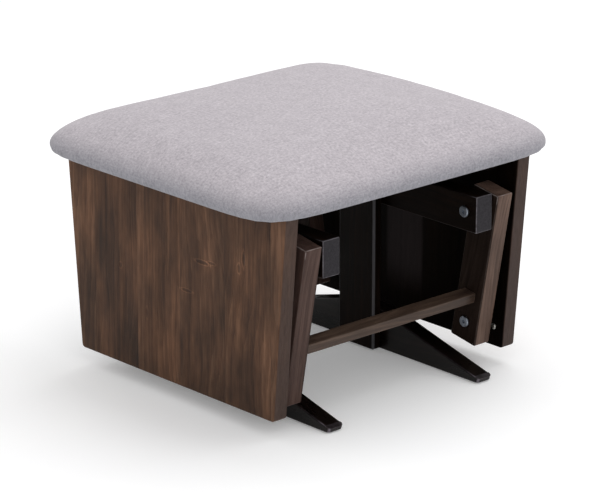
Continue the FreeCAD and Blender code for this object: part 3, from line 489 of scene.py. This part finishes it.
# the bars' arrises near their ends get a painted highlight
for i, n in enumerate(("right_top_bar", "left_top_bar")):
    dress(n, wood(n + "_wood", "Y", 41 + i * 3, *FRAME, rough=0.44, blotch=0.25, wear_and_highlight=0.8, wear_and_highlight_col=srgb(92, 76, 66), specular=0.04, ends=(1, 0.2322, END_GREY_LIT),
                          arris=(0.7, srgb(128, 124, 130), 1, 0.215, 0.232)))
for i, n in enumerate(("right_upright", "left_upright")):
    dress(n, wood(n + "_wood", "Z", 51 + i * 3, *FRAME, rough=0.44, blotch=0.25, wear_and_highlight=0.3, wear_and_highlight_col=srgb(50, 38, 30), specular=0.04, edge_highlight=(0.036, 0.1205, ARRIS_HIGHLIGHT_GREY)))
for i, n in enumerate(("front_cross_slat", "rear_cross_slat")):
    dress(n, wood(n + "_wood", "X", 61 + i * 3, *FRAME, rough=0.5, blotch=0.2, wear_and_highlight=0.3, wear_and_highlight_col=srgb(50, 42, 38), specular=0.12))
# the feet's arrises at the tips get a painted highlight
for i, n in enumerate(("right_foot", "left_foot")):
    dress(n, wood(n + "_wood", "Y", 71 + i * 3, *FOOT, rough=0.30, coat=0.12, coat_rough=0.2, blotch=0.2, wear_and_highlight=0.9, wear_and_highlight_col=srgb(92, 82, 86), specular=0.12,
                          arris=(0.75, srgb(128, 120, 128), 1, 0.215, 0.236)))
for i, n in enumerate(("right_cleat", "left_cleat")):
    dress(n, wood(n + "_wood", "Y", 81 + i * 3, *FRAME, rough=0.6, wear_and_highlight=0.2, wear_and_highlight_col=srgb(40, 32, 29), specular=0.1))
dress("deck_brace", wood("deck_brace_wood", "X", 91, *FRAME, rough=0.6, wear_and_highlight=0.2, wear_and_highlight_col=srgb(40, 32, 29), specular=0.1))
dress("deck_board", wood("deck_board_wood", "Y", 95, *INNER, rough=0.65, wear_and_highlight=0.1))

bolt = steel("bolt_zinc", col=(0.29, 0.32, 0.37), rough=0.36)
screw = steel("screw_zinc", col=(0.50, 0.49, 0.46), rough=0.38, tarnish=0.7)
insert = steel("insert_zinc", col=(0.55, 0.50, 0.40), rough=0.42, tarnish=0.6)
for n in ("upper_pivot_bolts", "lower_pivot_bolts", "upper_washers", "upper_lock_nuts"):
    dress(n, bolt)
for n in ("bar_upright_screws", "foot_upright_screws", "outer_slat_screws", "inner_slat_screws", "front_rail_screws", "rear_rail_screws",
          "panel_face_screws", "cleat_screws", "deck_screws", "brace_screws", "dust_cover_staples"):
    dress(n, screw)
dress("panel_inserts", insert)
nylon = plastic("nylon_black", srgb(34, 32, 32), rough=0.42)
for n in ("front_link_bushes", "rear_upper_bushes", "rear_lower_bushes", "upper_spacers", "lower_spacers"):
    dress(n, nylon)
dress("floor_glides", felt("glide_felt", srgb(44, 38, 34)))

# ------------------------------------------------------------------ padded top
PA, PB, PP = 0.2885, 0.2600, 9.0
Q1, Q2 = 2.75, 1.95
Z0, Z1, ZH, R0 = 0.3281, 0.3408, 0.4005, 0.962
SWELL = 0.0012  # the crown starts this much lower than it ends, and the plan this much wider


def rim(du, dv):
    """Plan outline of the pad in a direction of the square grid."""
    return (np.abs(du) ** PP + np.abs(dv) ** PP) ** (-1.0 / PP)


def pad_surface(n=72):
    """Closed pad: a crowned top, a rolled rim and a flat underside, as grids of quads."""
    verts, faces = [], []

    def sheet(fn):
        base = len(verts)
        g = np.linspace(-1, 1, n + 1)
        for j in range(n + 1):
            for i in range(n + 1):
                verts.append(fn(g[i], g[j]))
        for j in range(n):
            for i in range(n):
                a = base + j * (n + 1) + i
                faces.append((a, a + 1, a + n + 2, a + n + 1))

    def at(u, v):
        r = max(abs(u), abs(v))
        if r < 1e-9:
            return 0.0, 0.0, 0.0
        du, dv = u / r, v / r
        s = float(rim(du, dv))
        return du * s, dv * s, r

    def top(u, v):
        ex, ey, r = at(u, v)
        ang = math.pi / 2 * (1 - r)
        rho = math.cos(ang) ** (2 / Q1)
        z = Z1 + (ZH - Z1) * math.sin(ang) ** (2 / Q2)
        # the stuffing is fullest along the middle of the two short sides
        full = math.exp(-(((abs(ex) * rho - 0.84) / 0.14) ** 2)) * (1 - (ey * rho) ** 2) ** 2
        return (ex * (PA + SWELL) * rho, ey * (PB + SWELL) * rho, z - SWELL * 1.2 * math.sin(ang) + 0.0065 * full * min(1.0, 2.5 * math.sin(ang)))

    def low(u, v):
        ex, ey, r = at(u, v)
        if r > 0.7:
            ang = math.pi / 2 * (1 - (r - 0.7) / 0.3)
            rho = R0 + (1 - R0) * math.cos(ang)
            z = Z1 - (Z1 - Z0) * math.sin(ang)
        else:
            rho, z = R0 * r / 0.7, Z0
        return (ex * (PA + SWELL) * rho, ey * (PB + SWELL) * rho, z)

    sheet(top)
    k = len(faces)
    sheet(low)
    faces[k:] = [tuple(reversed(f)) for f in faces[k:]]
    return verts, faces


verts, faces = pad_surface()
me = bpy.data.meshes.new("pad_top")
me.from_pydata(verts, [], faces)
pad = bpy.data.objects.new("pad_top", me)
scene.collection.objects.link(pad)
bm = bmesh.new()
bm.from_mesh(me)
bmesh.ops.remove_doubles(bm, verts=bm.verts, dist=1e-5)
bmesh.ops.recalc_face_normals(bm, faces=bm.faces)
bm.to_mesh(me)
bm.free()


def apply_modifiers(o):
    dg = bpy.context.evaluated_depsgraph_get()
    new = bpy.data.meshes.new_from_object(o.evaluated_get(dg), depsgraph=dg)
    o.modifiers.clear()
    old = o.data
    o.data = new
    bpy.data.meshes.remove(old)


rm = pad.modifiers.new("remesh", "REMESH")
rm.mode = "VOXEL"
rm.voxel_size = 0.0055
apply_modifiers(pad)
sm = pad.modifiers.new("smooth", "SMOOTH")
sm.factor = 0.5
sm.iterations = 4
apply_modifiers(pad)


def coords(o):
    n = len(o.data.vertices)
    co = np.empty(n * 3)
    o.data.vertices.foreach_get("co", co)
    return co.reshape(-1, 3)


def fill_cushion(o, cap, frames=20):
    """Blows the cover up against its stapled underside, as a stuffed cushion settles."""
    rest = coords(o)
    pin = o.vertex_groups.new(name="stapled")
    low = np.clip((0.338 - rest[:, 2]) / 0.007, 0, 1)
    for k in range(1, 11):
        idx = np.nonzero(np.round(low * 10) == k)[0]
        if len(idx):
            pin.add([int(i) for i in idx], k / 10.0, "REPLACE")
    mod = o.modifiers.new("cloth", "CLOTH")
    st = mod.settings
    st.quality = 5
    st.mass = 0.3
    st.tension_stiffness = 18
    st.compression_stiffness = 18
    st.shear_stiffness = 6
    st.bending_stiffness = 1.2
    st.shrink_min = -0.006
    st.use_pressure = True
    st.uniform_pressure_force = 4.0
    st.effector_weights.gravity = 0
    st.vertex_group_mass = "stapled"
    mod.collision_settings.use_collision = False
    mod.collision_settings.use_self_collision = False
    mod.point_cache.frame_start, mod.point_cache.frame_end = 1, frames
    for f in range(1, frames + 1):
        scene.frame_set(f)
    dg = bpy.context.evaluated_depsgraph_get()
    ev = o.evaluated_get(dg)
    n = len(rest)
    out = np.empty(n * 3)
    ev.data.vertices.foreach_get("co", out)
    out = out.reshape(-1, 3)
    o.modifiers.remove(mod)
    o.vertex_groups.clear()
    d = out - rest
    size = np.linalg.norm(d, axis=1, keepdims=True)
    print("cushion moved up to %.1f mm, mean %.1f mm" % (size.max() * 1000, size.mean() * 1000))
    d *= 0.3 * cap * np.tanh(size / cap) / np.maximum(size, 1e-9)
    new = rest + d
    new[:, 2] = np.maximum(new[:, 2], Z0)
    o.data.vertices.foreach_set("co", new.ravel())
    o.data.update()
    scene.frame_set(1)


fill_cushion(pad, 0.007)
sm = pad.modifiers.new("settle", "SMOOTH")
sm.factor = 0.5
sm.iterations = 12
apply_modifiers(pad)

# stapled pleats where the cover turns under the rim at the corners
co = coords(pad)
ang = np.arctan2(np.abs(co[:, 1]) / PB, np.abs(co[:, 0]) / PA)
near = np.exp(-(((ang - math.pi / 4) / 0.16) ** 2)) * np.clip((0.3405 - co[:, 2]) / 0.006, 0, 1)
near *= np.clip((np.hypot(co[:, 0] / PA, co[:, 1] / PB) - 0.95) / 0.2, 0, 1)
fold = np.cos((ang - math.pi / 4) * 95.0) * 0.0011 * near
out_dir = co[:, :2] / np.linalg.norm(co[:, :2], axis=1, keepdims=True).clip(1e-6)
co[:, :2] += out_dir * (fold - 0.0006 * near)[:, None]
pad.data.vertices.foreach_set("co", co.ravel())
pad.data.update()


def cloth_coords(o):
    """Lays the cloth out flat: x and y on the top, running on down the sides."""
    me = o.data
    n = len(me.vertices)
    co = np.empty(n * 3)
    me.vertices.foreach_get("co", co)
    co = co.reshape(-1, 3)
    drop = np.maximum(0.0, 0.378 - co[:, 2])
    ax = np.clip((np.abs(co[:, 0]) - PA + 0.05) / 0.05, 0, 1)
    ay = np.clip((np.abs(co[:, 1]) - PB + 0.05) / 0.05, 0, 1)
    u = co[:, 0] + np.sign(co[:, 0]) * ax * drop
    v = co[:, 1] + np.sign(co[:, 1]) * ay * drop
    a = me.attributes.new("cloth_uv", "FLOAT_VECTOR", "POINT")
    a.data.foreach_set("vector", np.stack([u, v, np.zeros(n)], 1).astype(np.float32).ravel())


cloth_coords(pad)
sub = pad.modifiers.new("subdivide", "SUBSURF")
sub.levels = sub.render_levels = 1
apply_modifiers(pad)
for p in pad.data.polygons:
    p.use_smooth = True
pad.data.materials.append(upholstery("pad_cloth", srgb(208, 201, 206), srgb(156, 150, 156)))
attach(pad, "seat")
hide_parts("pad_cover", "foam_pad")

# The dust cover: thin black cloth stretched under the pad, sagging a little between its staples.
DX, DY, DZ, DT = 0.1895, 0.2255, 0.3266, 0.0008
nx, ny = 76, 90
bm = bmesh.new()
grid = {}
rnd = random.Random(5)
waves = [(rnd.uniform(8, 34), rnd.uniform(8, 34), rnd.uniform(0, 6.28), rnd.uniform(0.2, 1.0)) for _ in range(7)]
for k, off in ((0, 0.0), (1, -DT)):
    for j in range(ny + 1):
        for i in range(nx + 1):
            x, y = DX * (2 * i / nx - 1), DY * (2 * j / ny - 1)
            slack = (1 - (x / DX) ** 2) ** 0.7 * (1 - (y / DY) ** 2) ** 0.7
            brace = 1 - math.exp(-((y / 0.03) ** 2))
            wave = sum(a * math.sin(x * u + y * v + c) for u, v, c, a in waves) / 4.0
            pull = 0.5 + 0.5 * math.cos((x + 0.15) * 2 * math.pi / 0.06)
            scallop = 0.0006 * (1 - pull) * math.exp(-((DY - abs(y)) / 0.02))
            z = DZ + off - brace * (0.0018 * slack + 0.0007 * slack * (1 + wave)) - scallop
            grid[k, i, j] = bm.verts.new((x, y, z))
for j in range(ny):
    for i in range(nx):
        bm.faces.new([grid[0, i, j], grid[0, i + 1, j], grid[0, i + 1, j + 1], grid[0, i, j + 1]])
        bm.faces.new([grid[1, i, j + 1], grid[1, i + 1, j + 1], grid[1, i + 1, j], grid[1, i, j]])
for i in range(nx):
    bm.faces.new([grid[0, i + 1, 0], grid[0, i, 0], grid[1, i, 0], grid[1, i + 1, 0]])
    bm.faces.new([grid[0, i, ny], grid[0, i + 1, ny], grid[1, i + 1, ny], grid[1, i, ny]])
for j in range(ny):
    bm.faces.new([grid[0, 0, j], grid[0, 0, j + 1], grid[1, 0, j + 1], grid[1, 0, j]])
    bm.faces.new([grid[0, nx, j + 1], grid[0, nx, j], grid[1, nx, j], grid[1, nx, j + 1]])
bmesh.ops.recalc_face_normals(bm, faces=bm.faces)
dust_me = bpy.data.meshes.new("dust_sheet")
bm.to_mesh(dust_me)
bm.free()
for p in dust_me.polygons:
    p.use_smooth = True
dust_me.materials.append(felt("dust_cloth_black", srgb(22, 22, 23)))
dust = bpy.data.objects.new("dust_sheet", dust_me)
scene.collection.objects.link(dust)
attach(dust, "seat")
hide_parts("dust_cover")

# ------------------------------------------------------------------ stage, light, camera
floor_me = bpy.data.meshes.new("floor")
s = 14.0
floor_me.from_pydata([(-s, -s, 0), (s, -s, 0), (s, s, 0), (-s, s, 0)], [], [(0, 1, 2, 3)])
floor = bpy.data.objects.new("floor", floor_me)
scene.collection.objects.link(floor)
fm = Mat("floor_pale")
fc = fm.ramp(fm.noise(fm.coord(), 3.0, 2.0), [(0.3, srgb(246, 246, 247)), (0.7, srgb(250, 250, 250))])
floor.data.materials.append(fm.base(color=fc, rough=0.8, specular=0.1))
fm.b.inputs["Emission Color"].default_value = (1, 1, 1, 1)
fm.b.inputs["Emission Strength"].default_value = 0.17

world = bpy.data.worlds.new("studio")
scene.world = world
world.use_nodes = True
bg = world.node_tree.nodes["Background"]
bg.inputs[0].default_value = (1.0, 1.0, 1.0, 1)
bg.inputs[1].default_value = 0.78


def area(name, loc, target, size, power, col=(1, 1, 1)):
    light = bpy.data.lights.new(name, "AREA")
    light.shape = "RECTANGLE"
    light.size, light.size_y = size
    light.energy = power
    light.color = col
    o = bpy.data.objects.new(name, light)
    scene.collection.objects.link(o)
    o.location = loc
    o.rotation_mode = "QUATERNION"
    o.rotation_quaternion = (Vector(loc) - Vector(target)).to_track_quat("Z", "Y")
    return o


area("key", (-2.6, -0.9, 2.4), (0, 0, 0.25), (1.8, 1.4), 1.5)
area("overhead", (0.9, 0.0, 2.85), (0, 0, 0.3), (2.2, 2.2), 25)
area("fill", (2.2, -2.4, 1.6), (0, 0, 0.2), (1.6, 1.2), 6)
area("front", (-1.3, -2.3, 2.0), (0, 0, 0.35), (1.2, 0.9), 5)

AZ, EL = math.radians(-37.99), math.radians(13.46)
F_PX, CX, CY = 1583.07, 300.0, 250.0
BACK = Vector((math.sin(AZ) * math.cos(EL), -math.cos(AZ) * math.cos(EL), math.sin(EL)))
RIGHT = Vector((0, 0, 1)).cross(BACK).normalized()
UP = BACK.cross(RIGHT)
aim_px = (413.5, 383.0)
ray = (RIGHT * (aim_px[0] - CX) - UP * (aim_px[1] - CY) - BACK * F_PX).normalized()
cam_data = bpy.data.cameras.new("camera")
cam_data.sensor_width = 36.0
cam_data.lens = 200.0
cam_data.clip_start, cam_data.clip_end = 0.1, 100.0
cam = bpy.data.objects.new("camera", cam_data)
scene.collection.objects.link(cam)
cam.location = (-3.1049, -3.4174, 1.6957)
cam.rotation_mode = "QUATERNION"
cam.rotation_quaternion = (-ray).to_track_quat("Z", "Y")
scene.camera = cam
